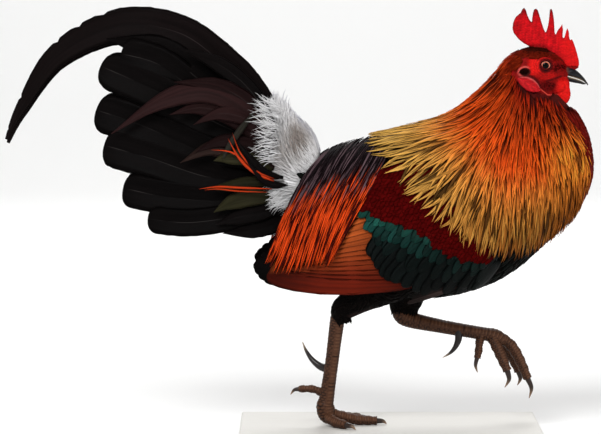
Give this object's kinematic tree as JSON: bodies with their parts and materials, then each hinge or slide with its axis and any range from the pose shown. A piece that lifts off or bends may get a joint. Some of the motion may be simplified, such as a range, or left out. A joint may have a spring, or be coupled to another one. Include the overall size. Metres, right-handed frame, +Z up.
{
  "type": "red junglefowl cock",
  "caption": "Life-size red junglefowl cock in mid stride, one foot lifted, with arched black tail and orange hackles, on a plain flat base.",
  "frame": {"origin": "centre of the underside of the stand's base", "axes": "+X forwards, the way the bird faces, +Z up, and the bird's right side faces -Y"},
  "size_m": [0.5312, 0.15, 0.3841],
  "materials": {
    "black_plumage": "satin black contour feathers",
    "hackle": "glossy orange-gold pointed hackles",
    "saddle": "glossy orange-red pointed saddle hackles",
    "wing": "maroon, teal and rust wing feathers",
    "down": "matte pale down",
    "tail": "glossy black feathers with a green and violet sheen",
    "bare_skin": "matte red granular skin",
    "bill_horn": "polished dark horn",
    "leg_scale": "satin grey-brown scales",
    "claw_horn": "polished horn",
    "eye": "wet, glossy, orange iris and black pupil",
    "base_board": "matte pale painted board"
  },
  "bodies": {
    "root": {"torso": "black_plumage", "thigh_right": "black_plumage", "thigh_left": "black_plumage", "neck": "hackle", "head": "bare_skin", "comb": "bare_skin", "wattle_right": "bare_skin", "wattle_left": "bare_skin", "earlobe_right": "bare_skin", "earlobe_left": "bare_skin", "eye_right": "eye", "eye_left": "eye", "bill_upper": "bill_horn", "bill_lower": "bill_horn", "wing_right": "wing", "wing_left": "wing", "saddle_right": "saddle", "saddle_left": "saddle", "tail_root": "down", "tail_fan_right": "tail", "tail_fan_left": "tail", "sickle_right": "tail", "sickle_left": "tail", "sickle_tip_right": "tail", "sickle_tip_left": "tail", "tail_coverts_right": "tail", "tail_coverts_left": "tail", "shank_right": "leg_scale", "shank_left": "leg_scale", "spur_right": "claw_horn", "spur_left": "claw_horn", "stand_base": "base_board", "hallux_right": "leg_scale", "claw_hallux_right": "claw_horn", "toe_2_right": "leg_scale", "claw_toe_2_right": "claw_horn", "toe_3_right": "leg_scale", "claw_toe_3_right": "claw_horn", "toe_4_right": "leg_scale", "claw_toe_4_right": "claw_horn", "hallux_left": "leg_scale", "claw_hallux_left": "claw_horn", "toe_2_left": "leg_scale", "claw_toe_2_left": "claw_horn", "toe_3_left": "leg_scale", "claw_toe_3_left": "claw_horn", "toe_4_left": "leg_scale", "claw_toe_4_left": "claw_horn"}
  },
  "joints": []
}
